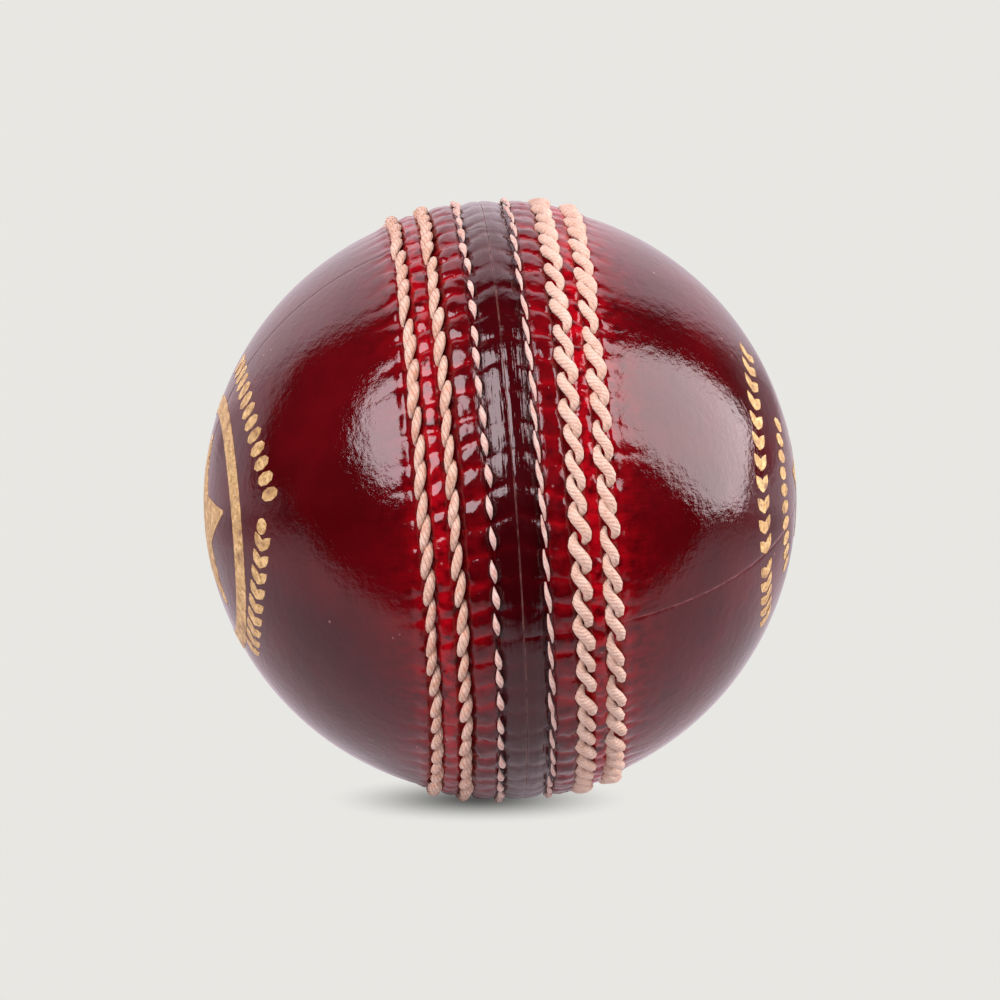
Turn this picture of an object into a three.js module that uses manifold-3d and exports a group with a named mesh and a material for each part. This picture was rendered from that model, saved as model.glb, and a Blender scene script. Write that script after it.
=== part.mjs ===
// A four-piece cricket ball: a cork and yarn quilt, two leather cups and six rows of stitching.
// Millimetres. The origin is the ball's centre, +X is the seam's axis, and the seam stands in the YZ plane.
// The ball has no moving parts: each piece below is its own solid, held by the stitching.

import * as THREE from "three";
import { mergeVertices } from "three/addons/utils/BufferGeometryUtils.js";
import Module from "manifold-3d";

const wasm = await Module();
wasm.setup();

// Cover
const FACE_RADIUS = 35.75; // leather on the smooth faces, which is 71.5 mm across the ball
const SEAM_RISE = 0.45; // how far the leather stands up along the seam
const SEAM_HALF_WIDTH = 11.9; // the raised band, from the joint between the cups
const SEAM_RAMP = 1.7; // the slope from the band down to the face
const COVER_THICKNESS = 2.9;
const SKIVED_RADIUS = 33.9; // inside of the cover where it is thinned to take the lining
const SKIVED_HALF_WIDTH = 12.6;
const JOINT_GAP = 0.3; // left between two edges that butt

// Stitching: each row's place from the joint, its stitches, and its thread
const OUTER_STITCHES = 68;
const CLOSING_STITCHES = 62;
const OUTER_THREAD = { radius: 0.62, sway: 0.35, lift: 0.12, grooveDepth: 0.75, grooveHalfWidth: 1.25 };
const CLOSING_THREAD = { radius: 0.34, sway: 0, lift: 0, grooveDepth: 0.55, grooveHalfWidth: 0.8 };
const ROWS = [
  { name: "outer", offset: 10.6, stitches: OUTER_STITCHES, thread: OUTER_THREAD },
  { name: "middle", offset: 7.1, stitches: OUTER_STITCHES, thread: OUTER_THREAD },
  { name: "closing", offset: 3.0, stitches: CLOSING_STITCHES, thread: CLOSING_THREAD },
];
const THREAD_CLEARANCE = 0.15;
const GROOVE_FLOOR_SHARE = 0.6; // a groove's floor, of its width at the top

// Join between the two quarters of a cup, sewn from the flesh side
const LEFT_JOIN_ANGLE = 70; // degrees about the seam's axis, from the front (-Y) towards +Z
const RIGHT_JOIN_ANGLE = LEFT_JOIN_ANGLE - 90;
const JOIN_CHANNEL = { depth: 1.0, width: 3.0, overcut: 1.0 };
const JOIN_THREAD = { radius: 0.3, sway: 0.85, stitches: 19, halfAngle: 64 };

// Lining strip inside each cup, under the seam
const LINING_THICKNESS = 0.8;
const LINING_CLEARANCE = 0.15;
const LINING_HALF_WIDTH = 12.2;

// Quilt: the outer radius of each layer, from the nut out
const NUT_RADIUS = 12.5;
const QUILT_LAYERS = [
  { kind: "yarn", outer: 16.2 },
  { kind: "cork", outer: 18.7 },
  { kind: "yarn", outer: 21.8 },
  { kind: "cork", outer: 24.3 },
  { kind: "yarn", outer: 27.2 },
  { kind: "cork", outer: 29.5 },
  { kind: "yarn", outer: 32.4 },
];
const LAYER_GAP = 0.3;
const YARN_OPENING = 11.25; // degrees from the pole: the eye left where a winding starts and ends
const CORK_OPENING = 33.75;
const SLIPS_PER_LAYER = 4;

// Facets
const COVER_SEGMENTS = 32;
const COVER_ARC_STEP = 9; // degrees
const QUILT_SEGMENTS = 16;
const QUILT_ARC_STEP = 22.5; // degrees
const THREAD_SIDES = 4;
const JOIN_THREAD_SIDES = 5;
const SAMPLES_PER_STITCH = 16; // for a thread's length
const MERGE_DISTANCE = 1e-4;

const LEATHER = new THREE.MeshStandardMaterial({ color: 0x5a0a12, roughness: 0.25, metalness: 0 });
const LINING_LEATHER = new THREE.MeshStandardMaterial({ color: 0xd8c3ac, roughness: 0.85, metalness: 0 });
const LINEN_THREAD = new THREE.MeshStandardMaterial({ color: 0xe8bfa0, roughness: 0.8, metalness: 0 });
const CORK = new THREE.MeshStandardMaterial({ color: 0xb5824f, roughness: 0.9, metalness: 0 });
const CORK_RUBBER = new THREE.MeshStandardMaterial({ color: 0x7a4f33, roughness: 0.8, metalness: 0 });
const WORSTED_YARN = new THREE.MeshStandardMaterial({ color: 0xe3d8c2, roughness: 0.95, metalness: 0 });

const radians = THREE.MathUtils.degToRad;

// ---- solids and cuts ----

function toSolid(geometry) {
  const bare = geometry.clone();
  bare.deleteAttribute("normal");
  bare.deleteAttribute("uv");
  const merged = mergeVertices(bare, MERGE_DISTANCE);
  return new wasm.Manifold(
    new wasm.Mesh({
      numProp: 3,
      vertProperties: merged.attributes.position.array,
      triVerts: new Uint32Array(merged.index.array),
    }),
  );
}

function toGeometry(solid) {
  const mesh = solid.getMesh();
  const geometry = new THREE.BufferGeometry();
  geometry.setAttribute("position", new THREE.BufferAttribute(mesh.vertProperties, 3));
  geometry.setIndex(new THREE.BufferAttribute(mesh.triVerts, 1));
  geometry.computeVertexNormals();
  return geometry;
}

function namedMesh(name, geometry, material) {
  const mesh = new THREE.Mesh(geometry, material);
  mesh.name = name;
  return mesh;
}

// ---- profiles, as (distance from the axis, height along it) ----

// A point of a sphere, with its angle measured from the pole.
function onSphere(radius, angle) {
  return new THREE.Vector2(radius * Math.sin(radians(angle)), radius * Math.cos(radians(angle)));
}

function polarAngle(radius, height) {
  return THREE.MathUtils.radToDeg(Math.acos(height / radius));
}

// Points along a sphere between two angles, both ends included.
function arc(radius, from, to, step) {
  const count = Math.max(1, Math.round(Math.abs(to - from) / step));
  return Array.from({ length: count + 1 }, (_, i) => {
    const angle = from + ((to - from) * i) / count;
    return angle === 0 ? new THREE.Vector2(0, radius) : onSphere(radius, angle);
  });
}

// Distance of the raised leather from the seam's axis, at a height along it.
function seamSurface(height) {
  return Math.sqrt(FACE_RADIUS ** 2 - height ** 2) + SEAM_RISE;
}

// The groove that a row of stitches lies in, from its face side to its joint side.
function groove({ offset, thread }) {
  const floorHalfWidth = thread.grooveHalfWidth * GROOVE_FLOOR_SHARE;
  const floor = seamSurface(offset) - thread.grooveDepth;
  return [
    new THREE.Vector2(seamSurface(offset + thread.grooveHalfWidth), offset + thread.grooveHalfWidth),
    new THREE.Vector2(floor, offset + floorHalfWidth),
    new THREE.Vector2(floor, offset - floorHalfWidth),
    new THREE.Vector2(seamSurface(offset - thread.grooveHalfWidth), offset - thread.grooveHalfWidth),
  ];
}

// ---- one cup: two quarters of leather, their thread and the lining ----

// The whole cup about +Y, open at the joint, before it is parted into quarters.
function cupProfile() {
  const innerRadius = FACE_RADIUS - COVER_THICKNESS;
  const faceEdge = SEAM_HALF_WIDTH + SEAM_RAMP;
  const edge = JOINT_GAP / 2;
  return [
    ...arc(FACE_RADIUS, 0, polarAngle(FACE_RADIUS, faceEdge), COVER_ARC_STEP),
    ...ROWS.flatMap(groove),
    new THREE.Vector2(seamSurface(edge), edge),
    ...arc(
      SKIVED_RADIUS,
      polarAngle(SKIVED_RADIUS, edge),
      polarAngle(SKIVED_RADIUS, SKIVED_HALF_WIDTH),
      COVER_ARC_STEP,
    ),
    ...arc(innerRadius, polarAngle(innerRadius, SKIVED_HALF_WIDTH), 0, COVER_ARC_STEP),
  ].reverse();
}

// A ring about +Z that cuts the channel for the join's thread inside the cup.
function joinChannel() {
  const inner = FACE_RADIUS - COVER_THICKNESS - JOIN_CHANNEL.overcut;
  const outer = FACE_RADIUS - COVER_THICKNESS + JOIN_CHANNEL.depth;
  const half = JOIN_CHANNEL.width / 2;
  const profile = [
    new THREE.Vector2(inner, -half),
    new THREE.Vector2(outer, -half),
    new THREE.Vector2(outer, half),
    new THREE.Vector2(inner, half),
    new THREE.Vector2(inner, -half),
  ];
  return new THREE.LatheGeometry(profile, 2 * COVER_SEGMENTS).rotateX(Math.PI / 2);
}

// A block that fills one side of the join's plane, short of the plane by half of the gap.
function sideBlock(side) {
  const size = 3 * FACE_RADIUS;
  return new THREE.BoxGeometry(size, size, size).translate(0, 0, (side * (size + JOINT_GAP)) / 2);
}

function coverQuarters(names) {
  const cup = toSolid(new THREE.LatheGeometry(cupProfile(), COVER_SEGMENTS));
  const channelled = cup.subtract(toSolid(joinChannel()));
  return names.map((name, i) => {
    const quarter = channelled.intersect(toSolid(sideBlock(i === 0 ? 1 : -1)));
    return namedMesh(name, toGeometry(quarter), LEATHER);
  });
}

// The join's thread, which crosses from quarter to quarter as it runs over the pole.
class JoinCurve extends THREE.Curve {
  getPoint(t, target = new THREE.Vector3()) {
    const radius = FACE_RADIUS - COVER_THICKNESS + JOIN_CHANNEL.depth / 2;
    const angle = radians(JOIN_THREAD.halfAngle) * (2 * t - 1);
    const across = JOIN_THREAD.sway * Math.cos(2 * Math.PI * JOIN_THREAD.stitches * t);
    return target.set(radius * Math.sin(angle), radius * Math.cos(angle), across);
  }
}

function joinThread(name) {
  const section = new THREE.Shape().absarc(0, 0, JOIN_THREAD.radius, 0, 2 * Math.PI);
  const curve = new JoinCurve();
  curve.arcLengthDivisions = SAMPLES_PER_STITCH * JOIN_THREAD.stitches;
  const geometry = new THREE.ExtrudeGeometry(section, {
    steps: 2 * JOIN_THREAD.stitches,
    curveSegments: JOIN_THREAD_SIDES / 2,
    extrudePath: curve,
  });
  return namedMesh(name, geometry, LINEN_THREAD);
}

function liningStrip(name) {
  const outer = SKIVED_RADIUS - LINING_CLEARANCE;
  const inner = outer - LINING_THICKNESS;
  const edge = JOINT_GAP / 2;
  const profile = [
    ...arc(outer, polarAngle(outer, edge), polarAngle(outer, LINING_HALF_WIDTH), COVER_ARC_STEP),
    ...arc(inner, polarAngle(inner, LINING_HALF_WIDTH), polarAngle(inner, edge), COVER_ARC_STEP),
  ];
  profile.push(profile[0].clone());
  return namedMesh(name, new THREE.LatheGeometry(profile, COVER_SEGMENTS), LINING_LEATHER);
}

// ---- a row of stitches about +Y ----

// The thread's run round the ball: each stitch slants once across the row and rises once out of the groove.
class StitchRowCurve extends THREE.Curve {
  constructor({ offset, stitches, thread }) {
    super();
    this.offset = offset;
    this.stitches = stitches;
    this.thread = thread;
    this.radius = seamSurface(offset) - thread.grooveDepth + THREAD_CLEARANCE + thread.radius + thread.lift;
    this.arcLengthDivisions = SAMPLES_PER_STITCH * stitches;
  }

  getPoint(t, target = new THREE.Vector3()) {
    const angle = 2 * Math.PI * t;
    const wave = Math.cos(this.stitches * angle);
    const radius = this.radius + this.thread.lift * wave;
    const height = this.offset + this.thread.sway * wave;
    return target.set(radius * Math.cos(angle), height, radius * Math.sin(angle));
  }
}

function stitchRow(side, row) {
  const stepsPerStitch = row.thread.sway > 0 ? 2 : 1;
  const geometry = new THREE.TubeGeometry(
    new StitchRowCurve(row),
    stepsPerStitch * row.stitches,
    row.thread.radius,
    THREAD_SIDES,
    true,
  );
  return namedMesh(`${side}_${row.name}_stitch_row`, geometry, LINEN_THREAD);
}

// ---- the quilt, about +Y ----

function shellBand(inner, outer, opening) {
  const profile = [
    ...arc(inner, opening, 180 - opening, QUILT_ARC_STEP),
    ...arc(outer, 180 - opening, opening, QUILT_ARC_STEP),
  ];
  profile.push(profile[0].clone());
  return new THREE.LatheGeometry(profile, QUILT_SEGMENTS);
}

// A wedge of space about +Y, one for each slip of a cork layer, short of its neighbours by the layer gap.
function slipBlock(index) {
  const reach = 2 * FACE_RADIUS;
  const turn = (2 * Math.PI * index) / SLIPS_PER_LAYER;
  const block = new THREE.BoxGeometry(reach, 2 * reach, reach);
  return block.translate((reach + LAYER_GAP) / 2, 0, (reach + LAYER_GAP) / 2).rotateY(turn);
}

function corkSlips(layer, inner, outer) {
  const band = toSolid(shellBand(inner, outer, CORK_OPENING));
  return Array.from({ length: SLIPS_PER_LAYER }, (_, i) => {
    const slip = band.intersect(toSolid(slipBlock(i)));
    return namedMesh(`cork_slip_${layer}_${i + 1}`, toGeometry(slip), CORK);
  });
}

function quilt() {
  const group = new THREE.Group();
  const nutProfile = [
    new THREE.Vector2(0, -NUT_RADIUS),
    ...arc(NUT_RADIUS, 180 - YARN_OPENING, YARN_OPENING, QUILT_ARC_STEP),
    new THREE.Vector2(0, NUT_RADIUS),
  ];
  group.add(namedMesh("core_nut", new THREE.LatheGeometry(nutProfile, QUILT_SEGMENTS), CORK_RUBBER));
  let inner = NUT_RADIUS + LAYER_GAP;
  const made = { yarn: 0, cork: 0 };
  for (const { kind, outer } of QUILT_LAYERS) {
    made[kind] += 1;
    if (kind === "yarn") {
      group.add(namedMesh(`yarn_winding_${made.yarn}`, shellBand(inner, outer, YARN_OPENING), WORSTED_YARN));
    } else {
      group.add(...corkSlips(made.cork, inner, outer));
    }
    inner = outer + LAYER_GAP;
  }
  return group;
}

// ---- the ball ----

// Everything is made about +Y. This group lays +Y along the seam's axis, to the right (+X) or the left (-X).
function alongSeamAxis(direction, ...children) {
  const group = new THREE.Group();
  group.rotation.z = (-direction * Math.PI) / 2;
  group.add(...children);
  return group;
}

// A cup, turned about the seam's axis so that the join between its quarters meets the seam at its own angle.
function cup(side, direction, joinAngle, quarterNames) {
  const turned = new THREE.Group();
  turned.rotation.y = -direction * radians(joinAngle);
  turned.add(...coverQuarters(quarterNames));
  turned.add(joinThread(`${side}_join_thread`));
  turned.add(liningStrip(`${side}_lining_strip`));
  return alongSeamAxis(direction, turned, ...ROWS.map((row) => stitchRow(side, row)));
}

const cricketBall = new THREE.Group();
cricketBall.add(
  alongSeamAxis(1, quilt()),
  cup("left", -1, LEFT_JOIN_ANGLE, ["left_cover_back", "left_cover_front"]),
  cup("right", 1, RIGHT_JOIN_ANGLE, ["right_cover_top", "right_cover_bottom"]),
);

export default cricketBall;
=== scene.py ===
import math

import bpy
from mathutils import Matrix, Vector


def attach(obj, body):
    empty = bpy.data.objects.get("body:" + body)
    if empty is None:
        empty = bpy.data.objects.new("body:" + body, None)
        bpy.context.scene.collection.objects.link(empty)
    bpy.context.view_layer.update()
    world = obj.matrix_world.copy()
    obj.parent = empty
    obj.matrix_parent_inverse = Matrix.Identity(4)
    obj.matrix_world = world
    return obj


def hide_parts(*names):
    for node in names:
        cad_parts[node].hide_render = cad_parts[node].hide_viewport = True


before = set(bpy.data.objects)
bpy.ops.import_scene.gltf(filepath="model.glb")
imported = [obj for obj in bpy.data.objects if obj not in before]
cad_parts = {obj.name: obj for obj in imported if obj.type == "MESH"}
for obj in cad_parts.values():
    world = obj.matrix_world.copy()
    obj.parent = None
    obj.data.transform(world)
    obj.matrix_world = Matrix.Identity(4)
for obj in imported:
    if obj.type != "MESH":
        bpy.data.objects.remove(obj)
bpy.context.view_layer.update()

# A four-piece cricket ball. Sizes are in millimetres unless a name or a comment says otherwise.
# The origin is the ball's centre and +X is the seam's axis, so the seam stands in the YZ plane.
# -Y faces the viewer.
MM = 0.001

# Cover
FACE_RADIUS = 35.7
SEAM_RISE = 0.42  # how far the leather stands up along the seam
COVER_THICKNESS = 2.9
SKIVED_SHARE = 0.62  # of that thickness, left along the seam where the lining lies
PUCKER_DEPTH = 0.42  # of the crease between two stitches
LUMP_HEIGHT = 0.11  # of the uneven leather between the rows, up or down
JOINT_CLEARANCE = 0.03  # from the joint to the edge of each cup
FINE_REACH = 15.5  # the leather is made in fine steps up to this distance from the joint
STEPS_PER_PUCKER = 10
STEPS_ACROSS = 85
JOIN_GROOVE = 0.05  # where two quarters of a cup meet
JOIN_GROOVE_WIDTH = 0.25
LEFT_JOIN_ANGLE = 70.0  # degrees about the seam's axis, from the front towards +Z
RIGHT_JOIN_ANGLE = LEFT_JOIN_ANGLE - 90.0

# Rows of stitches: how far from the joint, and how many
OUTER_ROW, MIDDLE_ROW, CLOSING_ROW = 10.6, 7.1, 3.0
OUTER_STITCHES = 68
CLOSING_STITCHES = 62
STITCH_POINTS = 9
STITCH_SIDES = 8

FOIL_THICKNESS = 0.05
LEATHER_MERGE = 0.002  # points closer than this become one
FOIL_MERGE = 0.001
SHARP_ANGLE = math.radians(50)

# A profile across the seam is given as (distance from the joint, value) up to its reach
PROFILE_REACH = 17.0
SUNK_PROFILE = [  # how far the leather is pulled down
    (0.0, 0.12), (0.15, 0.04), (0.5, 0.0), (1.5, 0.14), (2.3, 0.36), (2.7, 0.52), (3.0, 0.7), (3.35, 0.3),
    (3.8, 0.06), (5.0, 0.0), (5.9, 0.15), (7.1, 0.7), (8.1, 0.2), (8.85, 0.1), (9.6, 0.2), (10.6, 0.7),
    (11.7, 0.15), (12.9, 0.0), (17.0, 0.0),
]
GRIP_PROFILE = [  # how hard the stitches pucker it
    (0.0, 0.2), (1.4, 0.32), (2.5, 0.6), (3.0, 0.6), (3.4, 0.8), (5.0, 1.0), (6.6, 1.0), (7.1, 0.8),
    (8.85, 0.95), (10.6, 0.8), (11.4, 0.9), (12.2, 0.5), (13.2, 0.2), (15.0, 0.05), (17.0, 0.0),
]
PULL_REACH = 40.0
PULL_PROFILE = [  # how far the pull of the stitches brightens its dye
    (0.0, 0.0), (2.6, 0.0), (3.6, 0.2), (6.0, 0.25), (7.0, 0.7), (7.6, 1.0), (10.8, 1.0), (11.8, 0.85),
    (13.2, 0.45), (15.2, 0.2), (18.4, 0.04), (24.0, 0.0), (40.0, 0.0),
]

# The nodes that are used most
MATH, MIX, NOISE, RANGE = "ShaderNodeMath", "ShaderNodeMix", "ShaderNodeTexNoise", "ShaderNodeMapRange"
COMBINE, SEPARATE = "ShaderNodeCombineXYZ", "ShaderNodeSeparateXYZ"
SET_POSITION, STORE = "GeometryNodeSetPosition", "GeometryNodeStoreNamedAttribute"


# ---- helpers ----

def linear(hex_code, alpha=1.0):
    """An sRGB hex colour as the linear colour that a shader takes."""
    parts = [int(hex_code[i : i + 2], 16) / 255 for i in (1, 3, 5)]
    return [c / 12.92 if c <= 0.04045 else ((c + 0.055) / 1.055) ** 2.4 for c in parts] + [alpha]


def add(tree, kind, *inputs, out=0, stops=None, points=None, **settings):
    """Adds one node with its settings, and sets or links its live inputs in order. Returns one output."""
    node = tree.nodes.new(kind)
    for name, value in settings.items():
        setattr(node, name, value)
    if stops:
        elements = node.color_ramp.elements
        while len(elements) < len(stops):
            elements.new(1.0)
        for element, (place, colour) in zip(elements, stops):
            element.position, element.color = place, colour
    if points:
        curve = node.mapping.curves[0]
        while len(curve.points) < len(points):
            curve.points.new(0.5, 0.5)
        for point, place in zip(curve.points, points):
            point.location = place
        node.mapping.update()
    live = [socket for socket in node.inputs if socket.enabled]
    for socket, value in zip(live, inputs):
        if isinstance(value, bpy.types.NodeSocket):
            tree.links.new(value, socket)
        elif value is not None:
            socket.default_value = value
    if isinstance(out, str):
        return node.outputs[out]
    shown = [socket for socket in node.outputs if socket.enabled]
    return shown[out] if shown else node


def start_tree(name, **inputs):
    """A new Geometry Nodes tree with named inputs, and the outputs of its Group Input node."""
    tree = bpy.data.node_groups.new(name, "GeometryNodeTree")
    tree.interface.new_socket("Geometry", in_out="OUTPUT", socket_type="NodeSocketGeometry")
    for label, kind in inputs.items():
        tree.interface.new_socket(label, in_out="INPUT", socket_type="NodeSocket" + kind)
    tree.interface.new_socket("Material", in_out="INPUT", socket_type="NodeSocketMaterial")
    return tree, tree.nodes.new("NodeGroupInput").outputs


def finish_tree(tree, given, geometry):
    """Millimetres to metres, real geometry, smooth faces and the material."""
    geometry = add(tree, "GeometryNodeTransform", geometry, None, None, (MM, MM, MM))
    geometry = add(tree, "GeometryNodeRealizeInstances", geometry)
    geometry = add(tree, "GeometryNodeSetShadeSmooth", geometry)
    open_edge = add(tree, MATH, add(tree, "GeometryNodeInputMeshEdgeNeighbors"), 1.5, operation="LESS_THAN")
    geometry = add(tree, "GeometryNodeSetShadeSmooth", geometry, open_edge, False, domain="EDGE")
    edge_angle = add(tree, "GeometryNodeInputMeshEdgeAngle")
    corner = add(tree, MATH, edge_angle, SHARP_ANGLE, operation="GREATER_THAN")
    geometry = add(tree, "GeometryNodeSetShadeSmooth", geometry, corner, False, domain="EDGE")
    geometry = add(tree, "GeometryNodeSetMaterial", geometry, None, given["Material"])
    tree.links.new(geometry, tree.nodes.new("NodeGroupOutput").inputs[0])
    return tree


def make(tree, name, **values):
    """Runs a tree with these inputs and returns what it makes as a plain mesh object."""
    carrier = bpy.data.objects.new(name, bpy.data.meshes.new(name))
    bpy.context.scene.collection.objects.link(carrier)
    modifier = carrier.modifiers.new(name, "NODES")
    modifier.node_group = tree
    for item in tree.interface.items_tree:
        if item.in_out == "INPUT" and item.name in values:
            modifier[item.identifier] = values.pop(item.name)
    assert not values, values
    mesh = bpy.data.meshes.new_from_object(carrier.evaluated_get(bpy.context.evaluated_depsgraph_get()))
    bpy.data.objects.remove(carrier)
    mesh.name = name
    piece = bpy.data.objects.new(name, mesh)
    bpy.context.scene.collection.objects.link(piece)
    return piece


def scaled(profile, reach):
    """A profile across the seam as the points of a curve node."""
    return [(distance / reach, value) for distance, value in profile]


def per_metre(size):
    """The scale of a pattern whose marks are this many millimetres across."""
    return 1 / (size * MM)


def start_material(name):
    """A new material, its node tree, and its shader, which is linked to the output."""
    material = bpy.data.materials.new(name)
    material.use_nodes = True
    shader = next(n for n in material.node_tree.nodes if n.type == "BSDF_PRINCIPLED")
    return material, material.node_tree, shader


# ---- materials ----

def alum_tanned_leather():
    """Alum-tanned steer hide, dyed red, waxed and lacquered.

    It is dark and glassy where it is smooth, and bright red where it is pulled or creased.
    """
    material, tree, shader = start_material("alum_tanned_leather_lacquered")
    place = add(tree, "ShaderNodeTexCoord", out="Object")
    crease = add(tree, "ShaderNodeAttribute", attribute_name="crease", out="Fac")
    join = add(tree, "ShaderNodeAttribute", attribute_name="join_distance", out="Fac")

    # Millimetres round the ball, millimetres from the joint, and -1 or 1 for the left or right cup
    seam_place = add(tree, "ShaderNodeAttribute", attribute_name="seam_place", out="Vector")
    across = add(tree, SEPARATE, seam_place, out="Y")
    cup = add(tree, SEPARATE, seam_place, out="Z")
    right_cup = add(tree, MATH, cup, 0.0, operation="GREATER_THAN")
    outside = add(tree, RANGE, across, 10.0, 12.0)

    # The dye lies darker and lighter in clouds about 14 mm wide
    clouds = add(tree, NOISE, place, per_metre(14.3), 4.0, 0.6)
    dyes = [(0.32, linear("#380307")), (0.52, linear("#460408")), (0.72, linear("#55050b"))]
    body = add(tree, "ShaderNodeValToRGB", clouds, stops=dyes)

    # Bright blotches lie along the rows, where the hide was stretched. Streaks 0.5 mm wide and 4.5 mm long
    # run out from the outer rows.
    blotches = add(tree, NOISE, place, per_metre(1.43), 4.0, 0.6)
    streak_place = add(tree, "ShaderNodeVectorMath", seam_place, (1.9, 0.22, 1.0), operation="MULTIPLY")
    long_streaks = add(tree, NOISE, streak_place, 1.0, 5.0, 0.65)
    streak_share = add(tree, MATH, outside, 0.35, operation="MULTIPLY")
    streaks = add(tree, MIX, streak_share, blotches, long_streaks)
    streaked = add(tree, RANGE, streaks, 0.36, 0.6, 0.0, 1.0)

    # The right cup was pulled harder than the left one
    pull_share = add(tree, MATH, across, PULL_REACH, operation="DIVIDE", use_clamp=True)
    halo = add(tree, "ShaderNodeFloatCurve", 1.0, pull_share, points=scaled(PULL_PROFILE, PULL_REACH))
    pull_inside = add(tree, MIX, right_cup, 0.75, 1.0)
    pull_outside = add(tree, MIX, right_cup, 0.4, 0.8)
    side_pull = add(tree, MIX, outside, pull_inside, pull_outside)
    pull = add(tree, MATH, halo, side_pull, operation="MULTIPLY")
    pull = add(tree, MATH, pull, streaked, operation="MULTIPLY")
    reddened = add(tree, MIX, pull, body, linear("#a30715"), data_type="RGBA")

    # Creases show the bright dye under the lacquer
    breaks = add(tree, NOISE, place, per_metre(1.11), 3.0, 0.6)
    broken = add(tree, RANGE, breaks, 0.3, 0.65, 0.35, 1.0)
    lit = add(tree, MATH, crease, broken, operation="MULTIPLY", use_clamp=True)
    creased = add(tree, MIX, lit, reddened, linear("#a50714"), data_type="RGBA")

    # The strip between the closing rows is darker
    strip = add(tree, RANGE, across, 2.6, 3.4, 0.7, 0.0)
    dark = add(tree, MIX, strip, creased, linear("#2a0307"), data_type="RGBA")

    # Fine dark cracks, 3 mm long, run along both closing rows, where the lacquer bends
    crack_place = add(tree, "ShaderNodeVectorMath", seam_place, (0.3, 2.6, 1.0), operation="MULTIPLY")
    crack_noise = add(tree, NOISE, crack_place, 1.0, 3.0, 0.55)
    off_crack = add(tree, MATH, crack_noise, 0.5, operation="SUBTRACT")
    off_crack = add(tree, MATH, off_crack, operation="ABSOLUTE")
    off_row = add(tree, MATH, across, CLOSING_ROW, operation="SUBTRACT")
    off_row = add(tree, MATH, off_row, operation="ABSOLUTE")
    near_row = add(tree, RANGE, off_row, 0.45, 1.0, 0.65, 0.0)
    cracks = add(tree, RANGE, off_crack, 0.008, 0.03, 1.0, 0.0)
    cracks = add(tree, MATH, cracks, near_row, operation="MULTIPLY")
    cracked = add(tree, MIX, cracks, dark, linear("#120103"), data_type="RGBA")

    # The two cups meet in a pale scuffed hairline
    scuffs = add(tree, NOISE, place, per_metre(1.43), 3.0, 0.6)
    scuffed = add(tree, RANGE, scuffs, 0.4, 0.6, 0.15, 0.8)
    lip = add(tree, RANGE, across, 0.04, 0.11, 1.0, 0.0)
    lip = add(tree, MATH, lip, scuffed, operation="MULTIPLY")
    lipped = add(tree, MIX, lip, cracked, linear("#9a6a62"), data_type="RGBA")

    # The quarters of a cup join in a fine line, dark on the left cup and scuffed pale on the right one
    line = add(tree, RANGE, join, 0.03, 0.16, 0.9, 0.0)
    line = add(tree, MATH, line, outside, operation="MULTIPLY")
    scuffed_line = add(tree, RANGE, scuffed, 0.15, 0.8, 0.35, 1.0)
    line = add(tree, MATH, line, scuffed_line, operation="MULTIPLY")
    line_dye = add(tree, MIX, right_cup, linear("#160204"), linear("#7d4a4a"), data_type="RGBA")
    joined = add(tree, MIX, line, lipped, line_dye, data_type="RGBA")

    # Dust leaves a few pale specks
    dust = add(tree, "ShaderNodeTexVoronoi", place, per_metre(3.85))
    specks = add(tree, RANGE, dust, 0.0, 0.055, 0.55, 0.0)
    dusty = add(tree, MIX, specks, joined, linear("#c99a98"), data_type="RGBA")
    tree.links.new(dusty, shader.inputs["Base Color"])

    # Wrinkles 7 mm long run along the strip
    grain_place = add(tree, "ShaderNodeVectorMath", seam_place, (0.14, 1.3, 1.0), operation="MULTIPLY")
    wrinkles = add(tree, NOISE, grain_place, 1.0, 2.5, 0.5)
    on_strip = add(tree, RANGE, across, 2.4, 3.4, 0.5, 0.03)
    relief = add(tree, "ShaderNodeBump", on_strip, 0.4 * MM, None, wrinkles)
    uncracked = add(tree, MATH, 1.0, cracks, operation="SUBTRACT")
    relief = add(tree, "ShaderNodeBump", 0.3, 0.15 * MM, None, uncracked, relief)

    # The lacquer has a fine orange peel and a longer ripple
    peel = add(tree, NOISE, place, per_metre(0.909), 4.0, 0.6)
    relief = add(tree, "ShaderNodeBump", 0.5, 0.1 * MM, None, peel, relief)
    ripple = add(tree, NOISE, place, per_metre(3.85), 2.0, 0.5)
    relief = add(tree, "ShaderNodeBump", 0.18, 0.4 * MM, None, ripple, relief)
    tree.links.new(relief, shader.inputs["Normal"])
    tree.links.new(relief, shader.inputs["Coat Normal"])

    # The lacquer is the coat. The dyed hide under it has no gloss of its own.
    shader.inputs["Roughness"].default_value = 0.5
    shader.inputs["IOR"].default_value = 1.5
    shader.inputs["Specular IOR Level"].default_value = 0.0
    shader.inputs["Coat Weight"].default_value = 1.0
    shader.inputs["Coat Roughness"].default_value = 0.03
    return material


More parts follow.
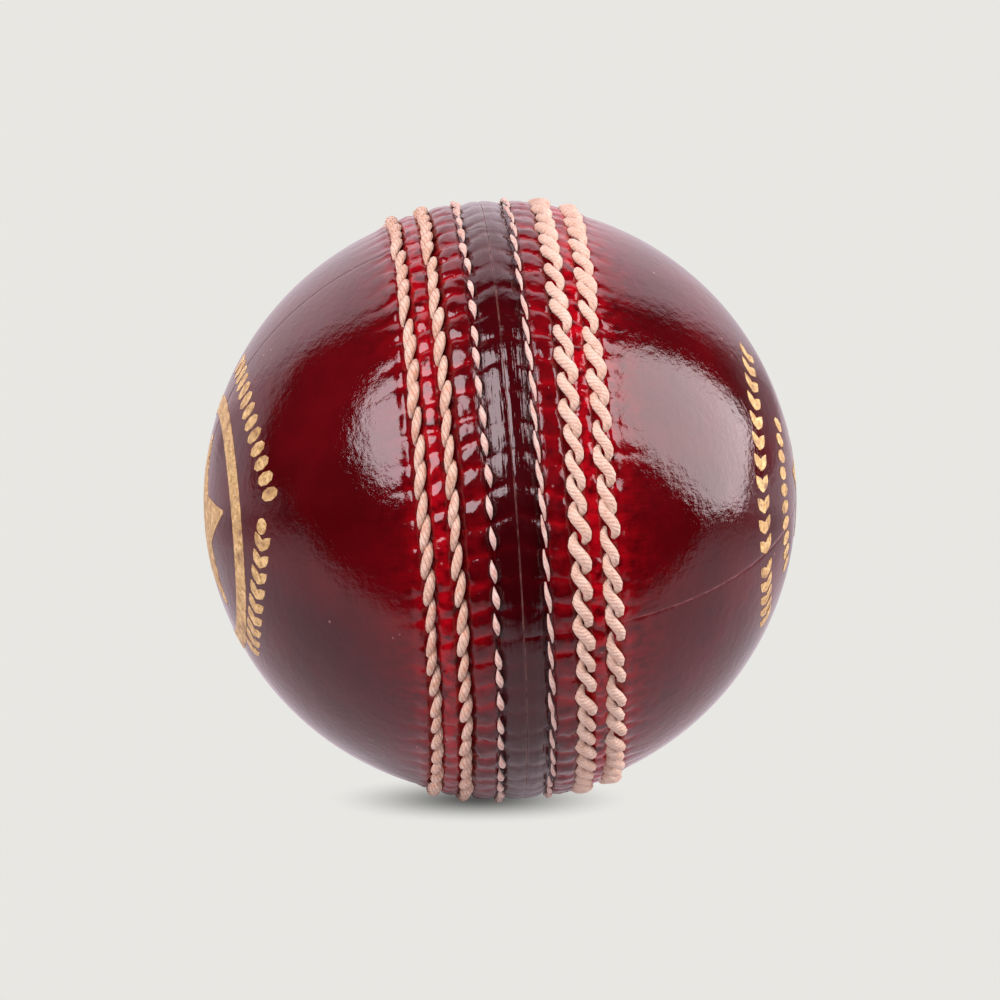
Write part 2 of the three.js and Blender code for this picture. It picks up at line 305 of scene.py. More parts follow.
def waxed_linen_thread(name, pale, shade, ply_width, plies, groove_painted_shade, dye):
    """Linen plies twisted hard and waxed: matte, with a fine groove between plies.

    Red dye is rubbed into it in places. A ply's width is measured along the thread.
    """
    material, tree, shader = start_material(name)
    place = add(tree, "ShaderNodeTexCoord", out="Object")
    section = add(tree, "ShaderNodeAttribute", attribute_name="section", out="Vector")
    along = add(tree, "ShaderNodeAttribute", attribute_name="along", out="Fac")
    side = add(tree, SEPARATE, section, out="X")
    top = add(tree, SEPARATE, section, out="Y")

    # The groove between plies winds round the thread. Its darker colour, drawn below, is painted shade.
    angle = add(tree, MATH, top, side, operation="ARCTAN2")
    slack = add(tree, NOISE, place, per_metre(0.667), 3.0, 0.6)
    wound = add(tree, MATH, slack, 0.6, along, operation="MULTIPLY_ADD")
    wound = add(tree, MATH, wound, 2 * math.pi / ply_width, operation="MULTIPLY")
    wound = add(tree, MATH, angle, float(plies), wound, operation="MULTIPLY_ADD")
    lobe = add(tree, MATH, wound, 0.5, operation="MULTIPLY")
    lobe = add(tree, MATH, lobe, operation="SINE")
    ridge = add(tree, MATH, lobe, operation="ABSOLUTE")
    # Painted shade, strongest in the middle of the groove
    groove = add(tree, RANGE, ridge, 0.0, 0.6, 1.0, 0.0)
    groove = add(tree, MATH, groove, groove_painted_shade, operation="MULTIPLY")

    # The wax is blotchy, and pale fibres catch the light. They are drawn 0.17 mm apart, which is coarser
    # than real ones, so that they show.
    blotches = add(tree, NOISE, place, per_metre(1.43), 4.0, 0.65)
    blotched = add(tree, RANGE, blotches, 0.35, 0.7, 0.0, 1.0)
    cloth = add(tree, MIX, blotched, linear(pale), linear(shade), data_type="RGBA")
    fibres = add(tree, NOISE, place, per_metre(0.1667), 3.0, 0.6)
    hairy = add(tree, RANGE, fibres, 0.4, 0.75, 0.0, 0.5)
    hairs = add(tree, MIX, hairy, cloth, linear("#f4e6da"), data_type="RGBA")
    # Painted shade: the grooves between plies are drawn darker in the colour
    painted_shade_in_grooves = add(tree, MIX, groove, hairs, linear("#8f5238"), data_type="RGBA")
    stains = add(tree, NOISE, place, per_metre(1.11), 3.0, 0.7)
    stained = add(tree, RANGE, stains, 0.5, 0.72, 0.0, dye)
    rubbed = add(tree, MIX, stained, painted_shade_in_grooves, linear("#c9703f"), data_type="RGBA")
    tree.links.new(rubbed, shader.inputs["Base Color"])

    relief = add(tree, "ShaderNodeBump", 0.55, 0.12 * MM, None, ridge)
    relief = add(tree, "ShaderNodeBump", 0.4, 0.03 * MM, None, fibres, relief)
    tree.links.new(relief, shader.inputs["Normal"])
    shader.inputs["Roughness"].default_value = 0.72
    shader.inputs["IOR"].default_value = 1.45
    shader.inputs["Sheen Weight"].default_value = 0.15
    return material


def pressed_cork(name, pale, deep, granule):
    """Cork pressed from granules: light grains in a darker binder, dull all over."""
    material, tree, shader = start_material(name)
    place = add(tree, "ShaderNodeTexCoord", out="Object")
    grains = add(tree, "ShaderNodeTexVoronoi", place, per_metre(granule), out="Color")
    shade = add(tree, "ShaderNodeSeparateColor", grains)
    edge = add(tree, "ShaderNodeTexVoronoi", place, per_metre(granule), feature="DISTANCE_TO_EDGE")
    body = add(tree, MIX, shade, linear(deep), linear(pale), data_type="RGBA")
    binder = add(tree, RANGE, edge, 0.0, 0.09, 0.7, 0.0)
    bound = add(tree, MIX, binder, body, linear("#3a2416"), data_type="RGBA")
    tree.links.new(bound, shader.inputs["Base Color"])
    tree.links.new(add(tree, "ShaderNodeBump", 0.5, 0.3 * MM, None, edge), shader.inputs["Normal"])
    shader.inputs["Roughness"].default_value = 0.9
    return material


def worsted_yarn():
    """Grey-white worsted wool, wound tight: matte fibres twisted every 3 mm."""
    material, tree, shader = start_material("worsted_wool_yarn")
    place = add(tree, "ShaderNodeTexCoord", out="Object")
    twist = add(tree, "ShaderNodeTexWave", place, per_metre(3.03), 6.0, 3.0)
    body = add(tree, MIX, twist, linear("#cbbfa8"), linear("#e9dfcb"), data_type="RGBA")
    fluff = add(tree, NOISE, place, per_metre(0.333), 3.0, 0.6)
    fluffy = add(tree, RANGE, fluff, 0.4, 0.7, 0.0, 0.4)
    fuzz = add(tree, MIX, fluffy, body, linear("#a8977c"), data_type="RGBA")
    tree.links.new(fuzz, shader.inputs["Base Color"])
    tree.links.new(add(tree, "ShaderNodeBump", 0.6, 0.3 * MM, None, twist), shader.inputs["Normal"])
    shader.inputs["Roughness"].default_value = 0.95
    shader.inputs["Sheen Weight"].default_value = 0.3
    return material


def lining_suede():
    """Undyed split leather, flesh side out: matte, with a short mottled nap."""
    material, tree, shader = start_material("split_leather_suede")
    place = add(tree, "ShaderNodeTexCoord", out="Object")
    clouds = add(tree, NOISE, place, per_metre(8.33), 3.0, 0.5)
    body = add(tree, MIX, clouds, linear("#c6a988"), linear("#dcc6a9"), data_type="RGBA")
    nap = add(tree, NOISE, place, per_metre(0.833), 5.0, 0.65)
    brushed = add(tree, RANGE, nap, 0.35, 0.7, 0.0, 0.5)
    mottled = add(tree, MIX, brushed, body, linear("#a98a68"), data_type="RGBA")
    tree.links.new(mottled, shader.inputs["Base Color"])
    tree.links.new(add(tree, "ShaderNodeBump", 0.5, 0.2 * MM, None, nap), shader.inputs["Normal"])
    shader.inputs["Roughness"].default_value = 0.9
    return material


def stamping_foil():
    """Gold stamping foil, hot-pressed into the lacquer: bright, a little crinkled, rubbed off in spots."""
    material, tree, shader = start_material("gold_stamping_foil")
    place = add(tree, "ShaderNodeTexCoord", out="Object")
    crinkle = add(tree, RANGE, add(tree, NOISE, place, per_metre(0.625), 4.0, 0.7), 0.35, 0.65)
    rub = add(tree, NOISE, place, per_metre(1.25), 5.0, 0.7)
    worn = add(tree, RANGE, rub, 0.54, 0.64, 0.0, 0.8)
    gold = add(tree, MIX, crinkle, linear("#a88142"), linear("#fbdd9f"), data_type="RGBA")
    rubbed = add(tree, MIX, worn, gold, linear("#5a1a12"), data_type="RGBA")
    tree.links.new(rubbed, shader.inputs["Base Color"])
    tree.links.new(add(tree, RANGE, worn, 0.0, 0.8, 0.45, 0.05), shader.inputs["Metallic"])
    tree.links.new(add(tree, "ShaderNodeBump", 0.6, 0.1 * MM, None, crinkle), shader.inputs["Normal"])
    shader.inputs["Roughness"].default_value = 0.45
    return material


# ---- the cover ----

def leather_quarter_tree():
    """A quarter of the cover: a sheet bent over the ball, raised along the seam, with a pucker per stitch."""
    tree, given = start_tree(
        "leather_quarter", Steps_round="Int", Steps_across="Int", Radius="Float", Seam_rise="Float",
        Start_angle="Float", Side="Float", Outer_stitches="Float", Closing_stitches="Float",
        Pucker_depth="Float", Seed="Float",
    )
    sheet = add(tree, "GeometryNodeMeshGrid", 1.0, 1.0, given["Steps_round"], given["Steps_across"])
    flat = add(tree, "GeometryNodeInputPosition")
    round_share = add(tree, SEPARATE, flat, out="X")
    across_share = add(tree, SEPARATE, flat, out="Y")

    # One way, the sheet takes half a turn about the seam's axis. The other way it runs from pole to joint,
    # with fine steps only near the seam.
    end_angle = add(tree, MATH, given["Start_angle"], math.pi)
    angle = add(tree, RANGE, round_share, -0.5, 0.5, given["Start_angle"], end_angle)
    fine_from = math.acos(FINE_REACH / FACE_RADIUS)
    joint_edge = math.acos(JOINT_CLEARANCE / FACE_RADIUS)
    face_part = add(tree, RANGE, across_share, -0.5, -0.2, 0.0, fine_from)
    seam_part = add(tree, RANGE, across_share, -0.2, 0.5, 0.0, joint_edge - fine_from)
    tilt = add(tree, MATH, face_part, seam_part)
    out_side = add(tree, MATH, tilt, operation="COSINE")
    out_x = add(tree, MATH, out_side, given["Side"], operation="MULTIPLY")
    out_ring = add(tree, MATH, tilt, operation="SINE")
    out_y = add(tree, MATH, angle, operation="COSINE")
    out_y = add(tree, MATH, out_y, out_ring, operation="MULTIPLY")
    out_y = add(tree, MATH, out_y, -1.0, operation="MULTIPLY")
    out_z = add(tree, MATH, angle, operation="SINE")
    out_z = add(tree, MATH, out_z, out_ring, operation="MULTIPLY")
    outward = add(tree, COMBINE, out_x, out_y, out_z)
    across = add(tree, MATH, out_side, given["Radius"], operation="MULTIPLY")

    # The seam stands up, sinks under each row and is gripped by the stitches
    rise = add(tree, RANGE, across, 12.9, 11.2, 0.0, given["Seam_rise"], interpolation_type="SMOOTHSTEP")
    share = add(tree, MATH, across, PROFILE_REACH, operation="DIVIDE", use_clamp=True)
    sunk = add(tree, "ShaderNodeFloatCurve", 1.0, share, points=scaled(SUNK_PROFILE, PROFILE_REACH))
    grip = add(tree, "ShaderNodeFloatCurve", 1.0, share, points=scaled(GRIP_PROFILE, PROFILE_REACH))

    # One pucker per stitch. The strip inside the closing rows follows their stitches.
    inside = add(tree, MATH, across, CLOSING_ROW, operation="LESS_THAN")
    stitches = add(tree, MIX, inside, given["Outer_stitches"], given["Closing_stitches"])
    turns = add(tree, MATH, angle, 2 * math.pi, operation="DIVIDE")
    turns = add(tree, MATH, turns, stitches, operation="MULTIPLY")
    spot = add(tree, "ShaderNodeVectorMath", outward, (FACE_RADIUS,) * 3, operation="MULTIPLY")
    wander = add(tree, NOISE, spot, given["Seed"], 0.35, 2.0, 0.5, noise_dimensions="4D")
    slanted = add(tree, MATH, across, 0.07, turns, operation="MULTIPLY_ADD")
    phase = add(tree, MATH, wander, 0.7, slanted, operation="MULTIPLY_ADD")
    swell = add(tree, MATH, phase, math.pi, operation="MULTIPLY")
    swell = add(tree, MATH, swell, operation="SINE")
    swell = add(tree, MATH, swell, operation="ABSOLUTE")
    swell = add(tree, MATH, swell, 0.55, operation="POWER")
    hollow = add(tree, MATH, 1.0, swell, operation="SUBTRACT")
    strength = add(tree, NOISE, spot, given["Seed"], 0.22, 2.0, 0.5, noise_dimensions="4D")
    uneven = add(tree, RANGE, strength, 0.3, 0.7, 0.55, 1.25)
    depth = add(tree, MATH, hollow, grip, operation="MULTIPLY")
    depth = add(tree, MATH, depth, uneven, operation="MULTIPLY")
    depth = add(tree, MATH, depth, given["Pucker_depth"], operation="MULTIPLY")
    swelling = add(tree, NOISE, spot, given["Seed"], 0.8, 3.0, 0.6, noise_dimensions="4D")
    lumps = add(tree, RANGE, swelling, 0.3, 0.7, -LUMP_HEIGHT, LUMP_HEIGHT)
    lumps = add(tree, MATH, lumps, grip, operation="MULTIPLY")
    raised = add(tree, MATH, rise, lumps)
    lowered = add(tree, MATH, depth, sunk)
    height = add(tree, MATH, raised, lowered, operation="SUBTRACT")

    # Two quarters of a cup meet in a shallow groove
    from_join = add(tree, MATH, angle, given["Start_angle"], operation="SUBTRACT")
    ring_radius = add(tree, MATH, out_ring, FACE_RADIUS, operation="MULTIPLY")
    off_join = add(tree, MATH, from_join, operation="SINE")
    off_join = add(tree, MATH, off_join, ring_radius, operation="MULTIPLY")
    groove = add(tree, RANGE, off_join, 0.0, JOIN_GROOVE_WIDTH, JOIN_GROOVE, 0.0)
    height = add(tree, MATH, height, groove, operation="SUBTRACT")
    radius = add(tree, MATH, height, given["Radius"])

    # What the leather's finish and its wall need to know is kept before the sheet is bent
    sharp = add(tree, MATH, hollow, 1.6, operation="POWER")
    gripped = add(tree, MATH, grip, uneven, operation="MULTIPLY")
    sharp = add(tree, MATH, sharp, gripped, operation="MULTIPLY")
    way_round = add(tree, MATH, angle, FACE_RADIUS, operation="MULTIPLY")
    seam_place = add(tree, COMBINE, way_round, across, given["Side"])
    skived = add(tree, RANGE, across, 12.0, 15.0, SKIVED_SHARE, 1.0)
    for label, value, kind in (
        ("crease", sharp, "FLOAT"),
        ("seam_place", seam_place, "FLOAT_VECTOR"),
        ("join_distance", off_join, "FLOAT"),
        ("thickness_share", skived, "FLOAT"),
    ):
        sheet = add(tree, STORE, sheet, None, label, value, data_type=kind)
    bent_place = add(tree, "ShaderNodeVectorMath", outward, radius, operation="SCALE")
    bent = add(tree, SET_POSITION, sheet, None, bent_place)
    bent = add(tree, "GeometryNodeMergeByDistance", bent, None, LEATHER_MERGE)
    left = add(tree, MATH, given["Side"], 0.0, operation="LESS_THAN")
    bent = add(tree, "GeometryNodeFlipFaces", bent, left)
    return finish_tree(tree, given, bent)


def leather_quarter(tree, name, side, start_angle, seed, material):
    """A quarter of the cover with its wall, which is skived thinner along the seam."""
    quarter = make(
        tree, name, Steps_round=OUTER_STITCHES // 2 * STEPS_PER_PUCKER + 1, Steps_across=STEPS_ACROSS + 1,
        Radius=FACE_RADIUS, Seam_rise=SEAM_RISE, Start_angle=math.radians(start_angle), Side=side,
        Outer_stitches=float(OUTER_STITCHES), Closing_stitches=float(CLOSING_STITCHES),
        Pucker_depth=PUCKER_DEPTH, Seed=seed, Material=material,
    )
    shares = quarter.data.attributes["thickness_share"].data
    wall = quarter.vertex_groups.new(name="wall")
    for i, share in enumerate(shares):
        wall.add([i], share.value, "REPLACE")
    solid = quarter.modifiers.new("thickness", "SOLIDIFY")
    solid.thickness = COVER_THICKNESS * MM
    solid.offset = -1.0
    solid.vertex_group = "wall"
    return quarter


# ---- stitches ----

def stitch_row_tree():
    """A row of stitches round the ball.

    Each is a short plied thread that leaves its hole, leans across the row and dives.
    """
    tree, given = start_tree(
        "stitch_row", Stitches="Int", Offset="Float", Bed_radius="Float", Length="Float",
        Thickness="Float", Lean="Float", Curl="Float", Lift="Float", Dive="Float", Blunt="Float",
        Tip="Float", Jitter="Float", First="Float", Seed="Int",
    )
    line = add(tree, "GeometryNodeCurvePrimitiveLine", (0, 0, 0), (1, 0, 0))
    line = add(tree, "GeometryNodeResampleCurve", line, None, STITCH_POINTS)
    copies = add(tree, "GeometryNodeDuplicateElements", line, None, given["Stitches"], domain="SPLINE")
    which = copies.node.outputs["Duplicate Index"]
    share = add(tree, "GeometryNodeSplineParameter", out="Factor")
    middle = add(tree, MATH, share, 0.5, operation="SUBTRACT")
    edge = add(tree, MATH, middle, 2.0, operation="MULTIPLY")
    edge = add(tree, MATH, edge, operation="ABSOLUTE")

    # No two stitches are pulled quite alike
    shift = add(tree, "FunctionNodeRandomValue", -0.12, 0.12, which, given["Seed"])
    pull_seed = add(tree, MATH, given["Seed"], 7.0)
    pulled = add(tree, "FunctionNodeRandomValue", 0.88, 1.12, which, pull_seed)
    sideways_seed = add(tree, MATH, given["Seed"], 13.0)
    sideways = add(tree, "FunctionNodeRandomValue", -0.12, 0.12, which, sideways_seed)

    # Where it lies: round the ball, from side to side, and out from the axis
    own_shift = add(tree, MATH, shift, given["Jitter"], given["First"], operation="MULTIPLY_ADD")
    turn = add(tree, MATH, which, own_shift)
    turn = add(tree, MATH, turn, given["Stitches"], operation="DIVIDE")
    reach = add(tree, MATH, middle, given["Length"], operation="MULTIPLY")
    reach = add(tree, MATH, reach, given["Bed_radius"], operation="DIVIDE")
    angle = add(tree, MATH, turn, 2 * math.pi, reach, operation="MULTIPLY_ADD")
    bow = add(tree, MATH, given["Curl"], math.pi, operation="MULTIPLY")
    bow = add(tree, MATH, middle, bow, operation="MULTIPLY")
    bow = add(tree, MATH, bow, operation="SINE")
    leaning = add(tree, MATH, bow, given["Lean"], operation="MULTIPLY")
    leaning = add(tree, MATH, leaning, pulled, operation="MULTIPLY")
    drift = add(tree, MATH, sideways, given["Jitter"], given["Offset"], operation="MULTIPLY_ADD")
    x = add(tree, MATH, drift, leaning)
    crown = add(tree, MATH, edge, 2.0, operation="POWER")
    crown = add(tree, MATH, 1.0, crown, operation="SUBTRACT")
    crown = add(tree, MATH, crown, given["Lift"], operation="MULTIPLY")
    sink = add(tree, MATH, edge, 5.0, operation="POWER")
    sink = add(tree, MATH, sink, given["Dive"], operation="MULTIPLY")
    up = add(tree, MATH, crown, sink, operation="SUBTRACT")
    radius = add(tree, MATH, up, given["Bed_radius"])
    y = add(tree, MATH, angle, operation="COSINE")
    y = add(tree, MATH, y, radius, operation="MULTIPLY")
    y = add(tree, MATH, y, -1.0, operation="MULTIPLY")
    z = add(tree, MATH, angle, operation="SINE")
    z = add(tree, MATH, z, radius, operation="MULTIPLY")
    laid_place = add(tree, COMBINE, x, y, z)

    # How thick it is, and how far along the row, for the twist of its plies
    blunt = add(tree, MATH, edge, given["Blunt"], operation="POWER")
    taper = add(tree, RANGE, blunt, 0.0, 1.0, 1.0, given["Tip"])
    thick = add(tree, MATH, taper, given["Thickness"], operation="MULTIPLY")
    half_pulled = add(tree, MATH, pulled, 0.5, operation="MULTIPLY")
    thick = add(tree, MATH, thick, half_pulled, operation="MULTIPLY")
    lines = add(tree, "GeometryNodeSetCurveRadius", copies, None, thick)
    far = add(tree, MATH, share, given["Length"], which, operation="MULTIPLY_ADD")
    lines = add(tree, STORE, lines, None, "along", far, data_type="FLOAT")
    lines = add(tree, SET_POSITION, lines, None, laid_place)
    ring = add(tree, "GeometryNodeCurvePrimitiveCircle", STITCH_SIDES, None, None, None, 1.0, mode="RADIUS")
    section = add(tree, "GeometryNodeInputPosition")
    ring = add(tree, STORE, ring, None, "section", section, data_type="FLOAT_VECTOR")
    threads = add(tree, "GeometryNodeCurveToMesh", lines, ring, add(tree, "GeometryNodeInputRadius"), True)
    return finish_tree(tree, given, threads)


# ---- foil stamps ----

def press(tree, given, flat):
    """Gives flat foil shapes, drawn round a face's pole, their thickness and bends them onto the face."""
    lid = add(tree, "GeometryNodeExtrudeMesh", flat, None, (0, 0, 1), FOIL_THICKNESS, False)
    under = add(tree, "GeometryNodeFlipFaces", flat)
    plate = add(tree, "GeometryNodeJoinGeometry")
    for part in (under, lid):
        tree.links.new(part, plate.node.inputs[0])
    plate = add(tree, "GeometryNodeMergeByDistance", plate, None, FOIL_MERGE)
    drawn = add(tree, "GeometryNodeInputPosition")
    upward = add(tree, MATH, add(tree, SEPARATE, drawn, out="X"), given["Centre_z"])
    forward = add(tree, MATH, add(tree, SEPARATE, drawn, out="Y"), given["Centre_y"])
    layer = add(tree, SEPARATE, drawn, out="Z")
    upward_squared = add(tree, MATH, upward, upward, operation="MULTIPLY")
    forward_squared = add(tree, MATH, forward, forward, operation="MULTIPLY")
    off_pole = add(tree, MATH, upward_squared, forward_squared)
    height = add(tree, MATH, FACE_RADIUS**2, off_pole, operation="SUBTRACT")
    height = add(tree, MATH, height, operation="SQRT")
    height = add(tree, MATH, height, layer)
    height = add(tree, MATH, height, given["Side"], operation="MULTIPLY")
    back = add(tree, MATH, forward, -1.0, operation="MULTIPLY")
    plate = add(tree, SET_POSITION, plate, None, add(tree, COMBINE, height, back, upward))
    right = add(tree, MATH, given["Side"], 0.0, operation="GREATER_THAN")
    return add(tree, "GeometryNodeFlipFaces", plate, right)


def foil_marks_tree():
    """A row of equal marks round part of a ring: almonds for leaves, or short rounded bars.

    Each is turned by the same angle from the ring.
    """
    tree, given = start_tree(
        "foil_marks", Marks="Int", Corners="Int", Ring="Float", First_angle="Float", Last_angle="Float",
        Long="Float", Wide="Float", Turn="Float", Pointed="Float", Centre_y="Float", Centre_z="Float",
        Side="Float",
    )
    mark = add(tree, "GeometryNodeMeshCircle", given["Corners"], 1.0, fill_type="NGON")
    spot = add(tree, "GeometryNodeInputPosition")
    along = add(tree, SEPARATE, spot, out="X")
    aside = add(tree, SEPARATE, spot, out="Y")
    pinch = add(tree, MATH, along, along, operation="MULTIPLY")
    pinch = add(tree, MATH, pinch, given["Pointed"], operation="MULTIPLY")
    pinch = add(tree, MATH, 1.0, pinch, operation="SUBTRACT")
    half_long = add(tree, MATH, given["Long"], 0.5, operation="MULTIPLY")
    half_wide = add(tree, MATH, given["Wide"], 0.5, operation="MULTIPLY")
    along = add(tree, MATH, along, half_long, operation="MULTIPLY")
    aside = add(tree, MATH, aside, pinch, operation="MULTIPLY")
    aside = add(tree, MATH, aside, half_wide, operation="MULTIPLY")
    mark = add(tree, SET_POSITION, mark, None, add(tree, COMBINE, along, aside))

    which = add(tree, "GeometryNodeInputIndex")
    last = add(tree, MATH, given["Marks"], 1.0, operation="SUBTRACT")
    angle = add(tree, RANGE, which, 0.0, last, given["First_angle"], given["Last_angle"])
    x = add(tree, MATH, angle, operation="SINE")
    x = add(tree, MATH, x, given["Ring"], operation="MULTIPLY")
    y = add(tree, MATH, angle, operation="COSINE")
    y = add(tree, MATH, y, given["Ring"], operation="MULTIPLY")
    points = add(tree, "GeometryNodePoints", given["Marks"], add(tree, COMBINE, x, y))
    heading = add(tree, MATH, given["Turn"], angle, operation="SUBTRACT")
    heading = add(tree, COMBINE, 0.0, 0.0, heading)
    points = add(tree, STORE, points, None, "heading", heading, data_type="FLOAT_VECTOR")
    turned = add(tree, "GeometryNodeInputNamedAttribute", "heading", data_type="FLOAT_VECTOR")
    marks = add(tree, "GeometryNodeInstanceOnPoints", points, None, mark, None, None, turned)
    marks = add(tree, "GeometryNodeRealizeInstances", marks)
    return finish_tree(tree, given, press(tree, given, marks))


def foil_band_tree():
    """A closed band or disc of foil round the pole.

    Its rim runs straight from point to point, as a polygon or a star does.
    """
    tree, given = start_tree(
        "foil_band", Inner="Float", Outer="Float", Points="Float", Slope="Float", Phase="Float",
        Centre_y="Float", Centre_z="Float", Side="Float",
    )
    sheet = add(tree, "GeometryNodeMeshGrid", 1.0, 1.0, 181, 9)
    spot = add(tree, "GeometryNodeInputPosition")
    round_share = add(tree, SEPARATE, spot, out="X")
    out_share = add(tree, SEPARATE, spot, out="Y")
    angle = add(tree, MATH, round_share, 2 * math.pi, operation="MULTIPLY")
    radius = add(tree, RANGE, out_share, -0.5, 0.5, given["Inner"], given["Outer"])
    sector = add(tree, MATH, 2 * math.pi, given["Points"], operation="DIVIDE")
    half_sector = add(tree, MATH, sector, 0.5, operation="MULTIPLY")
    fold = add(tree, MATH, angle, given["Phase"], operation="SUBTRACT")
    fold = add(tree, MATH, fold, half_sector, operation="PINGPONG")
    fold_sine = add(tree, MATH, fold, operation="SINE")
    fold_cosine = add(tree, MATH, fold, operation="COSINE")
    edge = add(tree, MATH, fold_sine, given["Slope"], fold_cosine, operation="MULTIPLY_ADD")
    radius = add(tree, MATH, radius, edge, operation="DIVIDE")
    x = add(tree, MATH, angle, operation="SINE")
    x = add(tree, MATH, x, radius, operation="MULTIPLY")
    y = add(tree, MATH, angle, operation="COSINE")
    y = add(tree, MATH, y, radius, operation="MULTIPLY")
    band = add(tree, SET_POSITION, sheet, None, add(tree, COMBINE, x, y))
    band = add(tree, "GeometryNodeMergeByDistance", band, None, FOIL_MERGE)
    return finish_tree(tree, given, press(tree, given, band))


# ---- make the ball ----

leather = alum_tanned_leather()
right_thread = waxed_linen_thread(
    "waxed_linen_thread_pale", "#d6bda8", "#c49c80", ply_width=0.46, plies=5, groove_painted_shade=0.34, dye=0.1)
left_thread = waxed_linen_thread(
    "waxed_linen_thread_rubbed", "#d6bca5", "#b08060", ply_width=0.8, plies=5, groove_painted_shade=0.6, dye=0.45)
closing_thread = waxed_linen_thread(
    "waxed_linen_thread_fine", "#d8c2b6", "#bd907f", ply_width=0.9, plies=4, groove_painted_shade=0.45, dye=0.3)
cork = pressed_cork("pressed_cork", "#c99a62", "#9c6c3c", granule=1.2)
core = pressed_cork("cork_and_rubber", "#7d5236", "#4a2f22", granule=0.9)
yarn = worsted_yarn()
suede = lining_suede()
foil = stamping_foil()

quarter_tree = leather_quarter_tree()
for name, side, start, seed in (
    ("left_cover_back", -1.0, LEFT_JOIN_ANGLE, 1.0),
    ("left_cover_front", -1.0, LEFT_JOIN_ANGLE - 180, 2.0),
    ("right_cover_top", 1.0, RIGHT_JOIN_ANGLE, 3.0),
    ("right_cover_bottom", 1.0, RIGHT_JOIN_ANGLE - 180, 4.0),
):
    quarter = leather_quarter(quarter_tree, name.replace("cover", "leather"), side, start, seed, leather)
    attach(quarter, "root")
    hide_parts(name)

# For each side, and for closing rows or not: the thread, how deep it beds in the seam, and its shape
STITCH_KINDS = {
    ("left", True): (closing_thread, 0.22, dict(
        Stitches=CLOSING_STITCHES, Length=2.9, Thickness=0.82, Lean=-0.14, Curl=1.0, Lift=0.25,
        Dive=0.3, Blunt=1.5, Tip=0.08, Jitter=1.4)),
    ("right", True): (closing_thread, 0.18, dict(
        Stitches=CLOSING_STITCHES, Length=3.8, Thickness=0.6, Lean=-0.18, Curl=1.2, Lift=0.22,
        Dive=0.15, Blunt=1.2, Tip=0.3, Jitter=1.4)),
    ("left", False): (left_thread, 0.3, dict(
        Stitches=OUTER_STITCHES, Length=4.7, Thickness=1.16, Lean=0.38, Curl=1.1, Lift=0.35,
        Dive=0.7, Blunt=1.8, Tip=0.3, Jitter=1.2)),
    ("right", False): (right_thread, 0.25, dict(
        Stitches=OUTER_STITCHES, Length=4.6, Thickness=1.32, Lean=-0.68, Curl=1.6, Lift=0.25,
        Dive=0.65, Blunt=3.0, Tip=0.55, Jitter=1.1)),
}

row_tree = stitch_row_tree()
for side, sign in (("left", -1.0), ("right", 1.0)):
    for row, offset in (("outer", OUTER_ROW), ("middle", MIDDLE_ROW), ("closing", CLOSING_ROW)):
        thread, bed_depth, shape = STITCH_KINDS[side, row == "closing"]
        crest = math.sqrt(FACE_RADIUS**2 - offset**2) + SEAM_RISE
        stitches = make(
            row_tree, f"{side}_{row}_stitches", Offset=sign * offset, Bed_radius=crest - bed_depth,
            First=0.3 * offset, Seed=int(10 * offset + sign), Material=thread, **shape,
        )
        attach(stitches, "root")
        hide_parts(f"{side}_{row}_stitch_row")

# Generic gold ornaments: leaf branches, rows of short rounded bars, a dot, a plain ring and stars.
# An angle of 0 is towards the viewer and 90 is up. A centre is how far forward and up from the pole.
marks_tree, band_tree = foil_marks_tree(), foil_band_tree()
LEAVES = dict(Long=2.5, Wide=1.25, Pointed=0.75, Corners=12)
BARS = dict(Long=2.4, Wide=1.65, Turn=math.pi / 2, Pointed=0.0, Corners=8)
DOT = dict(Long=2.0, Wide=1.5, Turn=0.0, Pointed=0.0, Corners=16)
STAR = dict(Inner=0.0, Points=5.0, Slope=2.4, Phase=math.radians(13))
RING = dict(Points=60.0, Slope=math.tan(math.pi / 60), Phase=0.0)
ROUND_RIGHT, ROUND_LEFT, LEFT_ABOVE, LEFT_BELOW = (0.0, 0.0), (1.6, 0.0), (-1.3, 5.2), (-1.4, -6.5)
LEAF_ASIDE, LEAF_TURN = 0.5, 0.6
for name, recipe, centre, shape in (
    ("right_upper_branch", marks_tree, ROUND_RIGHT,
     dict(Ring=19.2, First_angle=58, Last_angle=-17, Marks=11, **LEAVES)),
    ("right_lower_branch", marks_tree, ROUND_RIGHT,
     dict(Ring=19.2, First_angle=-27, Last_angle=-52, Marks=5, **LEAVES)),
    ("right_bars", marks_tree, ROUND_RIGHT,
     dict(Ring=13.2, First_angle=36, Last_angle=-43, Marks=10, **BARS)),
    ("right_star", band_tree, ROUND_RIGHT, dict(Outer=8.0, **STAR)),
    ("left_bars", marks_tree, LEFT_BELOW,
     dict(Ring=25.8, First_angle=81, Last_angle=27, Marks=13, **BARS)),
    ("left_dot", marks_tree, LEFT_ABOVE,
     dict(Ring=22.2, First_angle=-10, Last_angle=-10, Marks=1, **DOT)),
    ("left_branch", marks_tree, LEFT_ABOVE,
     dict(Ring=22.5, First_angle=-15, Last_angle=-60, Marks=9, **LEAVES)),
    ("left_ring", band_tree, ROUND_LEFT, dict(Inner=13.2, Outer=15.3, **RING)),
    ("left_star", band_tree, ROUND_LEFT, dict(Outer=11.2, **STAR)),
):
    face = 1.0 if name.startswith("right") else -1.0
    shape.update(Centre_y=centre[0], Centre_z=centre[1], Side=face, Material=foil)
    for angle in ("First_angle", "Last_angle"):
        if angle in shape:
            shape[angle] = math.radians(shape[angle])
    # A leaf branch is two rows of leaves that lean away from each other
    rows = [("", shape)]
    if "branch" in name:
        rows = [
            (f"_{edge}", {**shape, "Ring": shape["Ring"] + way * LEAF_ASIDE, "Turn": way * LEAF_TURN})
            for edge, way in (("outside", 1), ("inside", -1))
        ]
    for edge, values in rows:
        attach(make(recipe, f"foil_{name}{edge}", **values), "root")

